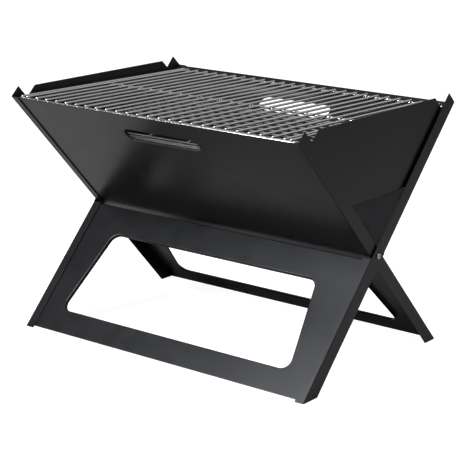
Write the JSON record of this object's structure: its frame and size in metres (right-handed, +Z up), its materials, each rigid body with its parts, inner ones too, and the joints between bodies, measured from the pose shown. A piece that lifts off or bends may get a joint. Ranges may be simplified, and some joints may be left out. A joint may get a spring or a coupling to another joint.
{
  "type": "folding camp grill",
  "caption": "Folding charcoal grill: two crossing sheet-steel frames on pivot screws, lift-off end plates, wire cooking and charcoal grates.",
  "frame": {"origin": "on the ground, in the middle of the grill, straight under the pivot line", "axes": "+X to the right along the pivot line, -Y to the front, +Z up"},
  "size_m": [0.4546, 0.3354, 0.3223],
  "materials": {
    "black_steel": "satin black heat-resistant paint",
    "chrome_wire": "bright chrome-plated wire",
    "zinc_fastener": "bright zinc plate"
  },
  "bodies": {
    "outer_frame": {"rear_wall": "black_steel", "front_leg_panel": "black_steel", "left_outer_rail": "black_steel", "right_outer_rail": "black_steel", "left_pivot_screw": "zinc_fastener", "right_pivot_screw": "zinc_fastener", "left_pivot_shim": "zinc_fastener", "right_pivot_shim": "zinc_fastener"},
    "inner_frame": {"front_wall": "black_steel", "rear_leg_panel": "black_steel", "left_inner_rail": "black_steel", "right_inner_rail": "black_steel", "left_nut_washer": "zinc_fastener", "right_nut_washer": "zinc_fastener", "left_pivot_nut": "zinc_fastener", "right_pivot_nut": "zinc_fastener"},
    "cooking_grate_body": {"cooking_grate": "chrome_wire"},
    "charcoal_grate_body": {"charcoal_grate": "chrome_wire"},
    "left_end_plate_body": {"left_end_plate": "black_steel"},
    "right_end_plate_body": {"right_end_plate": "black_steel"}
  },
  "joints": [
    {"name": "frame_fold", "type": "hinge", "parent": "outer_frame", "child": "inner_frame", "pos_m": [0, 0, 0.1447], "axis": [-1, 0, 0], "range_deg": [0, 86.6]},
    {"name": "cooking_grate_lift", "type": "slide", "parent": "outer_frame", "child": "cooking_grate_body", "axis": [0, 0, 1], "range_m": [0, 0.64]},
    {"name": "charcoal_grate_lift", "type": "slide", "parent": "outer_frame", "child": "charcoal_grate_body", "axis": [0, 0, 1], "range_m": [0, 0.64]},
    {"name": "left_end_plate_lift", "type": "slide", "parent": "outer_frame", "child": "left_end_plate_body", "axis": [0, 0, 1], "range_m": [0, 0.64]},
    {"name": "right_end_plate_lift", "type": "slide", "parent": "outer_frame", "child": "right_end_plate_body", "axis": [0, 0, 1], "range_m": [0, 0.64]}
  ],
  "couplings": [
    {"joint": "cooking_grate_lift", "follows": "frame_fold", "m_per_rad": 0.42},
    {"joint": "charcoal_grate_lift", "follows": "frame_fold", "m_per_rad": 0.42},
    {"joint": "left_end_plate_lift", "follows": "frame_fold", "m_per_rad": 0.42},
    {"joint": "right_end_plate_lift", "follows": "frame_fold", "m_per_rad": 0.42}
  ]
}
